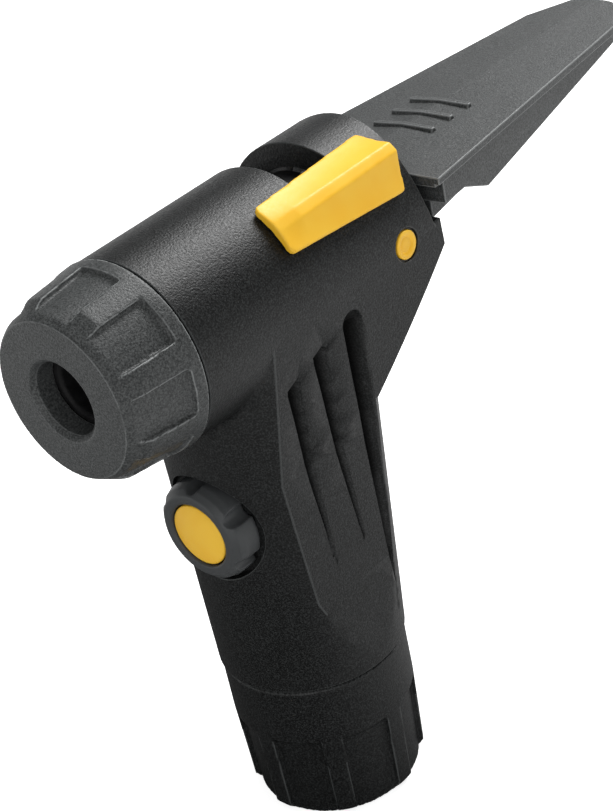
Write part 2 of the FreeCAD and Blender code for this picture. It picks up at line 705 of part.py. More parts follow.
def make_lever():
    """Grey lock lever: plate, side walls, ribs, neck, hub and cam in one moulding."""
    step_z = barrel_z + lever_step_rise
    side = side_prism([
        (lever_front_x, lever_top(lever_front_x)), (lever_rear_x, lever_top(lever_rear_x)),
        (lever_rear_x, lever_under(lever_rear_x)), (lever_belly_x, lever_under(lever_belly_x)),
        (lever_step_x, step_z), (lever_wall_front_x, step_z),
        (lever_wall_front_x, lever_top(lever_wall_front_x) - lever_plate),
        (lever_front_x, lever_top(lever_front_x) - lever_plate)], LONG)
    low_z = barrel_z - stem_r
    high_z = barrel_z + stem_r
    blank = side.common(plan_prism(lever_outline(0), low_z, high_z))
    roof_drop = lever_roof * lever_half_front
    roof = []
    for x in (lever_front_x + overrun, lever_rear_x - overrun):
        top = lever_top(x)
        corners = [(0, top), (lever_half_front, top - roof_drop), (lever_half_front, low_z),
                   (-lever_half_front, low_z), (-lever_half_front, top - roof_drop)]
        points = [at(x, y, z) for y, z in corners]
        roof.append(Part.makePolygon(points + points[:1]))
    blank = blank.common(Part.makeLoft(roof, True, True))

    def below(depth, x0, x1):
        """Everything lower than the top by a depth, between two places."""
        return side_prism([(x0, lever_top(x0) - depth), (x1, lever_top(x1) - depth),
                           (x1, low_z), (x0, low_z)], LONG)

    band = below(lever_lip + roof_drop, lever_front_x + overrun, lever_rear_x - overrun)
    blank = blank.cut(band.cut(plan_prism(lever_outline(lever_ledge), low_z, high_z)))
    hollow = below(lever_plate, lever_wall_front_x - lever_wall, lever_rear_x + lever_wall)
    hollow = hollow.common(plan_prism(lever_outline(lever_ledge + lever_wall), low_z, high_z))
    shell = blank.cut(hollow)
    rib_half = rib_thickness / 2
    long_rib = slab(rib_rear_x, lever_belly_x + neck_half, -rib_half, rib_half, low_z, high_z)
    ribs = [long_rib]
    rib_pitch = (lever_belly_x - rib_rear_x) / cross_ribs
    for index in range(cross_ribs):
        x = lever_belly_x - rib_pitch * (index + 1)
        ribs.append(slab(x, x + rib_thickness, -LONG, LONG, low_z, high_z))
    rib_space = hollow.common(blank)
    ribs = [rib.common(rib_space) for rib in ribs]

    neck = side_prism([
        (pivot_x, pivot_z + hub_r - lever_sink),
        (lever_front_x + neck_front_step, barrel_z + neck_front_rise),
        (lever_wall_front_x, lever_top(lever_wall_front_x) - lever_plate + lever_sink),
        (lever_belly_x, lever_top(lever_belly_x) - lever_plate + lever_sink),
        (lever_belly_x, lever_under(lever_belly_x) + neck_lift), (lever_step_x, step_z - neck_lift),
        (lever_front_x - neck_front_step, barrel_z + neck_under_rise),
        (pivot_x - neck_lift, pivot_z - hub_r + lever_sink)], neck_half)
    hub = rod_y(pivot_x, pivot_z, hub_r, hub_half)
    shoulder = side_prism([
        (shoulder_front_x, lever_top(shoulder_front_x) - lever_plate + lever_sink),
        (lever_belly_x, lever_top(lever_belly_x) - lever_plate + lever_sink),
        (lever_belly_x, lever_under(lever_belly_x) + neck_lift), (shoulder_rear_x, barrel_z),
        (shoulder_front_x, barrel_z - shoulder_front_drop)], shoulder_half)
    cam_x = pivot_x + cam_offset * math.cos(cam_angle)
    cam_z = pivot_z + cam_offset * math.sin(cam_angle)
    cam = rod_y(cam_x, cam_z, cam_r, cam_half_width)
    bars = []
    for index in range(thumb_bars):
        x = thumb_bar_x - index * thumb_bar_pitch
        half = thumb_bar_width / 2
        foot_z = lever_top(x) - lever_plate / 2
        crest_z = lever_top(x) + thumb_bar_height
        points = [(x - half, foot_z), (x + half, foot_z), (x + half / 2, crest_z), (x - half / 2, crest_z)]
        bars.append(side_prism(points, thumb_bar_half))
    lever = shell.fuse(ribs + [neck, shoulder, hub, cam] + bars)
    return lever.cut(rod_y(pivot_x, pivot_z, pin_r + run_gap, LONG)).removeSplitter()


def make_lever_pin():
    """Yellow hinge pin, flush in both cheeks."""
    return rod_y(pivot_x, pivot_z, pin_r, pin_face_y - seat_gap)


# Bleed valve
def make_bezel():
    """Grey notched bezel with its stub in the stem."""
    seat_x = bleed_pocket_x + seat_gap
    dome_x = bezel_front_x - bezel_dome
    bezel = turned_x([(bezel_stub_x, bleed_air_r), (bezel_stub_x, bezel_stub_r), (seat_x, bezel_stub_r),
                      (seat_x, bezel_r), (dome_x, bezel_r),
                      (dome_x + bezel_dome * bezel_shoulder_share, bezel_r - bezel_shoulder),
                      (bezel_front_x, bezel_face_r), (bezel_front_x, bezel_well_r + bezel_well_edge),
                      (bezel_front_x - bezel_well_edge, bezel_well_r), (bezel_well_x, bezel_well_r),
                      (bezel_well_x, bleed_chamber_r), (bleed_spring_seat_x, bleed_chamber_r),
                      (bleed_spring_seat_x, bleed_air_r)], bleed_z)
    groove = rod_x(bezel_oring_x - groove_half, bezel_oring_x + groove_half, bezel_stub_r, bleed_z)
    groove = groove.cut(rod_x(bezel_oring_x - groove_half, bezel_oring_x + groove_half,
                              bezel_stub_r - 2 * oring_section_r, bleed_z))
    notches = []
    for index in range(bezel_notches):
        turn = 2 * math.pi * (index + 0.5) / bezel_notches
        reach = bezel_r + bezel_notch_out
        place = at(seat_x - overrun, reach * math.cos(turn), bleed_z + reach * math.sin(turn))
        notches.append(Part.makeCylinder(bezel_notch_r, LONG, place, at(1, 0, 0)))
    return bezel.cut([groove] + notches)


def make_bleed_button():
    """Yellow button with a low dome."""
    rim = bleed_button_rim_x
    r = bleed_button_r
    dome = (r * r + bleed_button_dome * bleed_button_dome) / (2 * bleed_button_dome)
    ball = Part.makeSphere(dome, at(rim + bleed_button_dome - dome, 0, bleed_z))
    cap = ball.common(rod_x(rim, rim + 2 * bleed_button_dome, r, bleed_z))
    button = rod_x(bleed_button_back_x, rim, r, bleed_z).fuse(cap)
    grip = rod_x(bleed_button_back_x - overrun, bleed_button_back_x + bleed_stem_grip,
                 bleed_stem_r + socket_gap, bleed_z)
    return button.cut(grip).removeSplitter()


def make_bleed_stem():
    """Brass rod with the valve head on its inner end."""
    rod = rod_x(bleed_head_front_x, bleed_button_back_x + bleed_stem_grip - seat_gap, bleed_stem_r, bleed_z)
    return rod.fuse(rod_x(bleed_head_front_x - bleed_head, bleed_head_front_x, bleed_head_r, bleed_z))


def make_bleed_seal():
    """Rubber washer between the valve head and the stub."""
    washer = rod_x(bleed_head_front_x + seat_gap, bezel_stub_x - seat_gap, bleed_head_r, bleed_z)
    return washer.cut(rod_x(0, bezel_stub_x, bleed_stem_r + socket_gap, bleed_z))


# Hose collar and fitting
def make_collar():
    """Black ribbed nut at the bottom of the stem."""
    band_z = collar_length - collar_band
    outer = turned_z([(0, 0), (collar_r_bottom - collar_edge, 0), (collar_r_bottom, collar_edge),
                      (collar_r_top, band_z), (collar_r_top, collar_length - collar_top_edge),
                      (collar_r_top - collar_top_edge, collar_length), (0, collar_length)])
    depth = collar_recess_depth
    core = turned_z([(0, 0), (collar_r_bottom - collar_edge, 0), (collar_r_bottom - depth, collar_edge),
                     (collar_r_top - depth, band_z - depth), (collar_r_top, band_z), (0, band_z)])
    recesses = []
    half = math.radians(collar_recess_angle / 2)
    for index in range(collar_recesses):
        middle = 2 * math.pi * (index + 0.5) / collar_recesses
        reach = 2 * collar_r_top
        points = [(0, 0), (reach * math.cos(middle - half), reach * math.sin(middle - half)),
                  (reach * math.cos(middle + half), reach * math.sin(middle + half))]
        recesses.append(plan_prism(points, -overrun, band_z))
    collar = outer.cut(recesses).fuse(core)
    shoulder_z = fitting_flange_bottom_z - seat_gap
    bore = turned_z([(0, -overrun), (hose_hole_r, -overrun), (hose_hole_r, collar_floor),
                     (collar_throat_r, collar_floor), (collar_throat_r, shoulder_z),
                     (spigot_r + run_gap, shoulder_z),
                     (spigot_r + run_gap, collar_length + overrun), (0, collar_length + overrun)])
    return collar.cut(bore).removeSplitter()


def make_hose_fitting():
    """Brass barbed fitting screwed up into the stem."""
    tip_z = collar_floor + barb_tip_gap
    pitch = (fitting_flange_bottom_z - tip_z) / (barbs + 1)
    profile = [(fitting_bore_r, tip_z)]
    for index in range(barbs):
        z = tip_z + index * pitch
        profile += [(barb_r - barb_bite, z), (barb_r, z + pitch)]
    profile += [(barb_r - barb_bite, tip_z + barbs * pitch), (barb_r - barb_bite, fitting_flange_bottom_z),
                (fitting_flange_r, fitting_flange_bottom_z), (fitting_flange_r, fitting_flange_top_z),
                (fitting_stub_r, fitting_flange_top_z), (fitting_stub_r, fitting_oring_z - groove_half),
                (fitting_stub_r - 2 * oring_section_r, fitting_oring_z - groove_half),
                (fitting_stub_r - 2 * oring_section_r, fitting_oring_z + groove_half),
                (fitting_stub_r, fitting_oring_z + groove_half), (fitting_stub_r, fitting_stub_top_z),
                (fitting_bore_r, fitting_stub_top_z)]
    return turned_z(profile)


def make_fitting_oring():
    """O-ring on the fitting's stub."""
    ring_r = fitting_stub_r + run_gap - oring_gap - oring_section_r
    return Part.makeTorus(ring_r, oring_section_r, at(0, 0, fitting_oring_z), at(0, 0, 1))


def make_clamp_ring():
    """Split ring in the collar's throat that grips the hose on the barbs."""
    outer_r = collar_throat_r - run_gap
    z0 = collar_floor + seat_gap
    ring = rod_z(z0, z0 + clamp_ring_length, outer_r)
    ring = ring.cut(rod_z(z0 - overrun, z0 + clamp_ring_length + overrun, outer_r - clamp_ring_wall))
    return ring.cut(slab(0, LONG, -clamp_slit / 2, clamp_slit / 2, 0, LONG))


parts = {
    "body": make_body(),
    "front_cap": make_front_cap(),
    "valve_seal": make_seal(valve_seal_rear_x, valve_seal_front_x, valve_bore_r),
    "seal_washer": make_seal(washer_rear_x, washer_front_x, washer_bore_r),
    "presta_seal": make_seal(presta_rear_x, presta_front_x, presta_bore_r),
    "plunger": make_plunger(),
    "plunger_oring_front": torus_x(front_oring_x, barrel_z, oring_ring_r, oring_section_r),
    "plunger_oring_rear": torus_x(rear_oring_x, barrel_z, oring_ring_r, oring_section_r),
    "core_pin": make_core_pin(),
    "thrust_plate": make_thrust_plate(),
    "return_spring": coil_x(thrust_front_x + seat_gap, slot_front_x - seat_gap, barrel_z,
                            return_mean_r, return_wire_r, return_turns),
    "selector_ring": make_selector_ring(),
    "selector_tab": make_selector_tab(),
    "selector_stop_pin": rod_z(stop_pin_bottom_z + seat_gap, stop_pin_top_z, stop_pin_r, ring_mid_x),
    "lever": make_lever(),
    "lever_pin": make_lever_pin(),
    "bleed_bezel": make_bezel(),
    "bleed_bezel_oring": torus_x(bezel_oring_x, bleed_z, bezel_oring_r, oring_section_r),
    "bleed_button": make_bleed_button(),
    "bleed_stem": make_bleed_stem(),
    "bleed_seal": make_bleed_seal(),
    "bleed_spring": coil_x(bleed_spring_seat_x + seat_gap, bleed_button_back_x - seat_gap, bleed_z,
                           bleed_spring_r, bleed_wire_r, bleed_turns),
    "hose_collar": make_collar(),
    "hose_fitting": make_hose_fitting(),
    "hose_fitting_oring": make_fitting_oring(),
    "hose_clamp_ring": make_clamp_ring(),
}

os.makedirs("parts", exist_ok=True)
for name, shape in parts.items():
    solids = shape.Solids
    print(name, "solids", len(solids), "valid", shape.isValid(), "mm3", round(shape.Volume, 1))
    piece = solids[0] if len(solids) == 1 else shape
    piece.exportStep(os.path.join("parts", name + ".step"))
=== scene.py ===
from collections import namedtuple
import json
import math
import bmesh
import bpy
import numpy as np
from mathutils import Matrix, Vector
from mathutils.kdtree import KDTree


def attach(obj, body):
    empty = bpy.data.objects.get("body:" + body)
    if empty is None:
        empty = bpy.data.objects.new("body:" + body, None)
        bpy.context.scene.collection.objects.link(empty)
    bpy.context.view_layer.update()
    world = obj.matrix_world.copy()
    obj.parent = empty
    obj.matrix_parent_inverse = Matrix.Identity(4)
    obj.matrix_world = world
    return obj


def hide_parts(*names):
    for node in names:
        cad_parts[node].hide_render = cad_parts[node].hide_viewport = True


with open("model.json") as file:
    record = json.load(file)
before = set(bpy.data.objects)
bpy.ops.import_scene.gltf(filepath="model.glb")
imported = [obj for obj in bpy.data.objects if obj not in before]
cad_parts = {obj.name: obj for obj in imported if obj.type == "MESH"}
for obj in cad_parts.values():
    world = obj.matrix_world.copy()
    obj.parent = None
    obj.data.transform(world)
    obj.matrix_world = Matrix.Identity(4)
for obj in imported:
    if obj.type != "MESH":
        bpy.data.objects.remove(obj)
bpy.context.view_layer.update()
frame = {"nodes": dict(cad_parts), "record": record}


# Camera, at the photograph's place
def add_camera():
    """The photograph's camera, a long lens above the cap's side."""
    lens = bpy.data.cameras.new("photo_camera")
    lens.lens = 75.46
    lens.sensor_width = 36.0
    lens.clip_start = 0.01
    camera = bpy.data.objects.new("photo_camera", lens)
    place = Vector((0.14205, 0.15717, 0.18011))
    right = Vector((-0.6341, 0.7508, -0.1848))
    up = Vector((-0.4785, -0.1933, 0.8565))
    back = Vector((0.6074, 0.6315, 0.4819))
    turn = Matrix((right, up, back)).transposed().to_4x4()
    camera.matrix_world = Matrix.Translation(place) @ turn
    bpy.context.scene.collection.objects.link(camera)
    bpy.context.scene.camera = camera


add_camera()
bpy.context.scene.view_settings.view_transform = "Standard"


# Shader sums written as Python
class Signal:
    """A node's output, so that sums on it add their own Math nodes."""

    def __init__(self, board, socket):
        self.board = board
        self.socket = socket

    def math_node(self, operation, first, second):
        return self.board.node("ShaderNodeMath", {"operation": operation}, {0: first, 1: second})

    def __add__(self, other):
        return self.math_node("ADD", self, other)

    __radd__ = __add__

    def __sub__(self, other):
        return self.math_node("SUBTRACT", self, other)

    def __rsub__(self, other):
        return self.math_node("SUBTRACT", other, self)

    def __mul__(self, other):
        return self.math_node("MULTIPLY", self, other)

    __rmul__ = __mul__

    def at_least(self, other):
        """The larger of two signals."""
        return self.math_node("MAXIMUM", self, other)


class Board:
    """A node tree, of a material or of the world."""

    def __init__(self, tree):
        self.tree = tree

    def feed(self, socket, value):
        """Puts a link or a plain value into a socket."""
        if isinstance(value, Signal):
            self.tree.links.new(value.socket, socket)
        else:
            socket.default_value = value

    def node(self, kind, settings=None, values=None, output=0):
        """Any node: its settings first, then the values or links of its sockets."""
        made = self.tree.nodes.new(kind)
        for name, value in (settings or {}).items():
            setattr(made, name, value)
        for key, value in (values or {}).items():
            self.feed(made.inputs[key], value)
        return Signal(self, made.outputs[output])

    def ramp(self, value, low, high, to_low, to_high):
        """A value carried from one range to another, held at its ends."""
        values = {"Value": value, "From Min": low, "From Max": high, "To Min": to_low, "To Max": to_high}
        return self.node("ShaderNodeMapRange", {}, values)

    def blend(self, share, first, second):
        """Two colours mixed by a share."""
        return self.node("ShaderNodeMix", {"data_type": "RGBA"}, {0: share, 6: first, 7: second}, 2)

    def ray(self, kind):
        """1 for one kind of light ray, 0 for the others."""
        return self.node("ShaderNodeLightPath", output=kind)

    def along(self, axis, vector):
        """One of a vector's X, Y and Z."""
        return self.node("ShaderNodeSeparateXYZ", {}, {0: vector}, axis)


class Finish(Board):
    """A procedural material for one of the part's finishes."""

    def __init__(self, name, slot=None, **plain):
        self.slot = slot
        self.material = bpy.data.materials.new(name)
        self.material.use_nodes = True
        super().__init__(self.material.node_tree)
        self.shader = self.tree.nodes["Principled BSDF"]
        for socket, value in plain.items():
            self.shader.inputs[socket.replace("_", " ")].default_value = value
        self.place = self.node("ShaderNodeTexCoord", output="Object")

    def noise(self, scale, detail=2.0, rough=0.5, place=None):
        """Even noise at a scale in repeats per metre."""
        values = {"Vector": place or self.place, "Scale": scale, "Detail": detail, "Roughness": rough}
        return self.node("ShaderNodeTexNoise", {}, values)

    def mask(self, value, low, high):
        """0 up to one level of a value and 1 from another."""
        return self.ramp(value, low, high, 0.0, 1.0)

    def spread(self, grain, low, high):
        """A noise's usual range carried to two values."""
        return self.ramp(grain, 0.3, 0.7, low, high)

    def carried(self, name):
        """A number that the piece carries at each spot, 0 where it has none."""
        return self.node("ShaderNodeAttribute", {"attribute_name": name}, output="Fac")

    def painted_edge_highlight_share(self):
        """Share of painted highlight on the edges that stand out."""
        return self.ramp(self.carried("painted_edge_highlight"), 0.25, 1.0, 0.0, 0.6)

    def set(self, socket, value):
        self.feed(self.shader.inputs[socket], value)

    def relief(self, height, distance, strength):
        """Raises the surface by a height signal, in metres."""
        values = {"Height": height, "Distance": distance, "Strength": strength}
        self.set("Normal", self.node("ShaderNodeBump", {}, values))


def shade(r, g, b):
    """A colour as a screen shows it, 0 to 255, made linear."""
    linear = []
    for level in (r, g, b):
        share = level / 255
        linear.append(share / 12.92 if share <= 0.04045 else ((share + 0.055) / 1.055) ** 2.4)
    return (*linear, 1.0)


def grey(level):
    """A grey that is already linear."""
    return (level, level, level, 1.0)


# The part's finishes
def black_moulding():
    """Near-black nylon with a fine spark-eroded grain, with a painted highlight on the edges that stand out
    and painted shade in the flutes.
    """
    finish = Finish("black_moulding", "body_plastic", Specular_IOR_Level=0.34)
    grain = finish.noise(3400, 2.0, 0.55)
    cloud = finish.mask(finish.noise(140, 3.0, 0.5), 0.35, 0.65)
    speck = finish.mask(finish.noise(4300, 1.0, 0.5), 0.42, 0.70)
    ground = finish.blend(cloud, shade(13, 14, 14), shade(17, 18, 18))
    grained = finish.blend(speck, ground, shade(46, 48, 48))
    # Painted highlight: the edges that stand out are lightened towards a pale grey, where light would catch
    # them.
    painted_edge_highlight = finish.painted_edge_highlight_share()
    # Painted shade: spots deep in the flutes are darkened almost to black, and also made rougher.
    painted_flute_shade = finish.mask(finish.carried("painted_flute_shade"), 0.2, 0.75)
    edge_highlighted = finish.blend(painted_edge_highlight, grained, shade(92, 95, 95))
    finish.set("Base Color", finish.blend(painted_flute_shade, edge_highlighted, shade(4, 4, 4)))
    finish.set("Roughness", finish.spread(grain, 0.33, 0.52) - painted_edge_highlight * 0.08 + painted_flute_shade * 0.45)
    finish.relief(grain, 0.00012, 0.6)
    return finish


def grey_moulding():
    """Dark grey glass-filled nylon whose fine grain glints; a painted highlight lightens its edges that stand
    out.
    """
    finish = Finish("grey_moulding", "cap_plastic", Specular_IOR_Level=0.36)
    grain = finish.noise(3600, 2.0, 0.6)
    cloud = finish.mask(finish.noise(120, 3.0, 0.5), 0.35, 0.65)
    speck = finish.mask(finish.noise(4000, 2.0, 0.6), 0.38, 0.66)
    ground = finish.blend(cloud, shade(45, 47, 47), shade(52, 54, 54))
    grained = finish.blend(speck, ground, shade(86, 88, 88))
    # Painted highlight: the edges that stand out are lightened towards a pale grey.
    finish.set("Base Color", finish.blend(finish.painted_edge_highlight_share(), grained, shade(160, 163, 163)))
    finish.set("Roughness", finish.spread(grain, 0.34, 0.52))
    finish.relief(grain, 0.00010, 0.6)
    return finish


def bezel_moulding():
    """Satin dark grey ring round the bleed button."""
    finish = Finish("bezel_moulding", "bezel_plastic", Specular_IOR_Level=0.25)
    grain = finish.noise(4800)
    finish.set("Base Color", finish.blend(finish.noise(200), shade(66, 68, 69), shade(76, 78, 79)))
    finish.set("Roughness", finish.spread(grain, 0.30, 0.42))
    finish.relief(grain, 0.00005, 0.3)
    return finish


def yellow_moulding():
    """Warm yellow acetal, smooth with a slight orange peel."""
    finish = Finish("yellow_moulding", "yellow_plastic", Specular_IOR_Level=0.35)
    cloud = finish.mask(finish.noise(160), 0.3, 0.7)
    finish.set("Base Color", finish.blend(cloud, shade(252, 192, 44), shade(254, 202, 60)))
    finish.set("Roughness", finish.spread(finish.noise(3000), 0.34, 0.46))
    finish.relief(finish.noise(900), 0.00008, 0.15)
    return finish


def ring_moulding():
    """Smooth black ring that turns in the slot."""
    finish = Finish("ring_moulding", "ring_plastic", Specular_IOR_Level=0.4)
    grain = finish.noise(3000)
    finish.set("Base Color", finish.blend(grain, shade(17, 17, 18), shade(24, 24, 25)))
    finish.set("Roughness", finish.spread(grain, 0.28, 0.38))
    finish.relief(grain, 0.00004, 0.2)
    return finish


def white_moulding():
    """Off-white acetal of the inner pieces."""
    finish = Finish("white_moulding", "seal_plastic", Specular_IOR_Level=0.5)
    grain = finish.noise(2600)
    finish.set("Base Color", finish.blend(finish.noise(220), shade(205, 202, 190), shade(216, 213, 203)))
    finish.set("Roughness", finish.spread(grain, 0.28, 0.4))
    finish.relief(grain, 0.00004, 0.2)
    return finish


def black_rubber():
    """Matte rubber of the seals."""
    finish = Finish("black_rubber", "rubber", Specular_IOR_Level=0.3)
    bloom = finish.noise(700, 3.0, 0.6)
    finish.set("Base Color", finish.blend(finish.mask(bloom, 0.4, 0.7), shade(15, 15, 16), shade(26, 26, 27)))
    finish.set("Roughness", finish.spread(bloom, 0.55, 0.75))
    finish.relief(finish.noise(4000), 0.00004, 0.3)
    return finish


def turned_metal(name, slot, low, high, stretch):
    """Machined metal with the tool's fine lines across an axis."""
    finish = Finish(name, slot, Metallic=1.0)
    drawn = finish.node("ShaderNodeMapping", {}, {"Vector": finish.place, "Scale": stretch})
    lines = finish.noise(2600, place=drawn)
    finish.set("Base Color", finish.blend(lines, shade(*low), shade(*high)))
    finish.set("Roughness", finish.spread(lines, 0.24, 0.4))
    finish.relief(lines, 0.00003, 0.25)
    return finish


FINISHES = [
    black_moulding(), grey_moulding(), bezel_moulding(), yellow_moulding(), ring_moulding(),
    white_moulding(), black_rubber(),
    turned_metal("machined_brass", "brass", (186, 146, 84), (212, 174, 104), (3.0, 0.4, 3.0)),
    turned_metal("drawn_steel", "steel", (150, 151, 154), (178, 179, 182), (0.4, 3.0, 3.0)),
]
FINISH_OF = {finish.slot: finish for finish in FINISHES}
SLOT_OF = {piece["node"]: piece["material_slot"] for piece in frame["record"]["subparts"]}
BODY_OF = {node: body for body, nodes in frame["record"]["behaviour"]["bodies"].items() for node in nodes}


# Modelling helpers
def select_only(piece):
    """Makes one piece the only selected and active one."""
    bpy.ops.object.select_all(action="DESELECT")
    piece.select_set(True)
    bpy.context.view_layer.objects.active = piece


def apply_modifier(piece, name, kind, **settings):
    """Adds a modifier with its settings and applies it."""
    made = piece.modifiers.new(name, kind)
    for setting, value in settings.items():
        setattr(made, setting, value)
    select_only(piece)
    bpy.ops.object.modifier_apply(modifier=made.name)


def linked_object(name, mesh):
    """An object at the origin that shows a mesh."""
    made = bpy.data.objects.new(name, mesh)
    bpy.context.scene.collection.objects.link(made)
    return made


MERGE_REACH = 2e-6
FLAT_WITHIN = math.radians(0.1)


def dressed_copy(node_name, piece_name):
    """The CAD node's mesh as a piece of its own, merged, with its finish."""
    piece = linked_object(piece_name, frame["nodes"][node_name].data.copy())
    piece.data.materials.clear()
    piece.data.materials.append(FINISH_OF[SLOT_OF[node_name]].material)
    select_only(piece)
    bpy.ops.object.mode_set(mode="EDIT")
    bpy.ops.mesh.select_all(action="SELECT")
    bpy.ops.mesh.remove_doubles(threshold=MERGE_REACH)
    bpy.ops.mesh.dissolve_limited(angle_limit=FLAT_WITHIN)
    bpy.ops.object.mode_set(mode="OBJECT")
    return piece


def clear_choice(piece, kind):
    """Leaves nothing of a piece selected, and edit mode set to choose edges or faces."""
    select_only(piece)
    bpy.ops.object.mode_set(mode="EDIT")
    bpy.ops.mesh.select_mode(type=kind)
    bpy.ops.mesh.select_all(action="DESELECT")
    bpy.ops.object.mode_set(mode="OBJECT")


def choose_edges(piece, wanted):
    """Selects the edges whose two ends pass a test, and opens edit mode."""
    clear_choice(piece, "EDGE")
    spots = piece.data.vertices
    for edge in piece.data.edges:
        edge.select = wanted(*(spots[index].co for index in edge.vertices))
    bpy.ops.object.mode_set(mode="EDIT")


def round_edges(piece, wanted, width):
    """Rounds the chosen edges more than the rest."""
    choose_edges(piece, wanted)
    bpy.ops.mesh.bevel(offset=width, segments=4, affect="EDGES", clamp_overlap=True)
    bpy.ops.object.mode_set(mode="OBJECT")


def spots_of(piece, what="co"):
    """The piece's vertices, or their normals, as rows of three numbers."""
    flat = np.empty(len(piece.data.vertices) * 3)
    piece.data.vertices.foreach_get(what, flat)
    return flat.reshape(-1, 3)


def mark(piece, name, values, domain="POINT"):
    """Writes one number per vertex, edge or face for a finish or a modifier to read."""
    made = piece.data.attributes.new(name, "FLOAT", domain)
    made.data.foreach_set("value", values.astype(np.float32))


def is_sharp(edge, angle):
    """Whether an edge joins two faces at more than an angle."""
    return len(edge.link_faces) == 2 and edge.calc_face_angle() > angle


# Rounding of the smaller pieces, on an even mesh; lengths are shares of its grain
SHARP_FROM = math.radians(25)
EDGE_STEP = 0.25
SNAP_REACH = 0.6
EDGE_HIGHLIGHT_DEPTH = 0.3


def edge_finder(piece, step):
    """Finds the nearest spot on the piece's sharp edges."""
    shape = bmesh.new()
    shape.from_mesh(piece.data)
    spots = []
    for edge in shape.edges:
        if is_sharp(edge, SHARP_FROM):
            first, second = (spot.co for spot in edge.verts)
            count = max(1, math.ceil((second - first).length / step))
            spots += [first.lerp(second, index / count) for index in range(count + 1)]
    shape.free()
    finder = KDTree(len(spots))
    for index, spot in enumerate(spots):
        finder.insert(spot, index)
    finder.balance()
    return finder


def soften(piece, grain, passes):
    """Rounds the piece's edges and corners as its mould does, and marks the edges that stand out for a
    painted highlight.
    """
    true_shape = linked_object("true_shape", piece.data.copy())
    apply_modifier(piece, "even_mesh", "REMESH", mode="VOXEL", voxel_size=grain, use_smooth_shade=True)
    apply_modifier(piece, "drawn_back", "SHRINKWRAP", target=true_shape, wrap_method="NEAREST_SURFACEPOINT")
    edges = edge_finder(true_shape, EDGE_STEP * grain)
    for spot in piece.data.vertices:
        nearest, _, gap = edges.find(spot.co)
        if gap < SNAP_REACH * grain:
            spot.co = nearest
    bpy.data.objects.remove(true_shape)
    sharp = spots_of(piece)
    apply_modifier(piece, "rounded_edges", "SMOOTH", factor=0.5, iterations=passes)
    # How far each spot sank in the rounding sets its share of painted edge highlight.
    sunk = ((sharp - spots_of(piece)) * spots_of(piece, "normal")).sum(axis=1)
    mark(piece, "painted_edge_highlight", np.clip(sunk / (EDGE_HIGHLIGHT_DEPTH * grain), 0.0, 1.0))


# Rounding of the body and the lever, on the CAD mesh's own edges
STANDS_OUT_FROM = math.radians(24)
SMOOTH_BELOW = math.radians(28)
ROUNDED_EDGE_HIGHLIGHT = 0.7


def break_edges(piece, width, spared):
    """Rounds the edges that stand out, all but the spared ones, and marks them for a painted highlight."""
    shape = bmesh.new()
    shape.from_mesh(piece.data)
    weights = []
    for edge in shape.edges:
        middle = (edge.verts[0].co + edge.verts[1].co) / 2
        stands_out = is_sharp(edge, STANDS_OUT_FROM) and edge.is_convex
        weights.append(float(stands_out and not spared(middle)))
    shape.free()
    mark(piece, "bevel_weight_edge", np.array(weights), "EDGE")
    # The bevel puts its new faces in a second material slot, which tells them apart
    piece.data.materials.append(piece.data.materials[0])
    apply_modifier(piece, "rounded_edges", "BEVEL", limit_method="WEIGHT", width=width, segments=3,
                   use_clamp_overlap=False, material=1)
    bpy.ops.object.shade_smooth_by_angle(angle=SMOOTH_BELOW)
    apply_modifier(piece, "even_light", "WEIGHTED_NORMAL", weight=50, keep_sharp=True)
    # The rounded faces get a share of painted edge highlight.
    rounded = np.empty(len(piece.data.polygons), dtype=np.int32)
    piece.data.polygons.foreach_get("material_index", rounded)
    mark(piece, "painted_edge_highlight", rounded * ROUNDED_EDGE_HIGHLIGHT, "FACE")
    piece.data.polygons.foreach_set("material_index", np.zeros_like(rounded))
    piece.data.materials.pop(index=1)


def hand_over(piece, node_name):
    """Attaches the piece to its body and hides the CAD node that it stands for."""
    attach(piece, BODY_OF[node_name])
    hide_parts(node_name)


# Body: its bores and its flutes
BARREL_Z = 0.08385
BARREL_BORE_R = 0.0125
BARREL_BORE_END_X = -0.012
STEM_BORE_R = 0.0105
STEM_BORE_TOP_Z = 0.072

# The stem's side at heights above the seam: half width at the middle and lean towards the front
SideLevel = namedtuple("SideLevel", "rise half lean")
SEAM_Z = 0.02495
SIDE_LEVELS = [
    SideLevel(0.0, 0.0148, 0.0),
    SideLevel(0.0148, 0.01315, 0.115),
    SideLevel(0.0354, 0.01275, 0.115),
    SideLevel(0.0589, 0.01418, 0.026),
]

# The flutes' tops and ends, and the slope that each top is cut at
Station = namedtuple("Station", "x z width depth")
Flute = namedtuple("Flute", "top end slant")
FLUTES = [
    Flute(Station(0.00545, 0.0744, 0.0024, 0.0022), Station(0.0036, 0.0440, 0.0005, 0.0002), 0.5),
    Flute(Station(-0.00005, 0.0768, 0.0026, 0.0024), Station(-0.0021, 0.0450, 0.0005, 0.0003), 0.5),
    Flute(Station(-0.00720, 0.0775, 0.0034, 0.0030), Station(-0.0060, 0.0300, 0.0006, 0.0003), 0.0),
]
FLUTE_STEPS = 10
# A flute's profile: where its valley and its brims lie across its width, and how far out they are, in depths
VALLEY_ACROSS = -0.15
BRIM_ACROSS = 0.75
BRIM_OUT = 0.5
# The box that the flutes lie in, seen from the side
FLUTES_X = (-0.0105, 0.0075)
FLUTES_Z = (0.027, 0.080)
# Where a spot counts as inside a flute: share of its width to each side, rise above its top, least distance
# from the stem's middle; then the depth that is marked as darkest
INSIDE_SHARE = 0.9
INSIDE_ABOVE = 0.001
INSIDE_FROM_Y = 0.009
DARKEST_DEPTH = 0.0018


def side_y(x, z):
    """Where the stem's side lies."""
    rise = z - SEAM_Z
    for low, high in zip(SIDE_LEVELS, SIDE_LEVELS[1:]):
        if rise <= high.rise:
            break
    share = (rise - low.rise) / (high.rise - low.rise)
    half = low.half + share * (high.half - low.half)
    lean = low.lean + share * (high.lean - low.lean)
    return half - lean * x


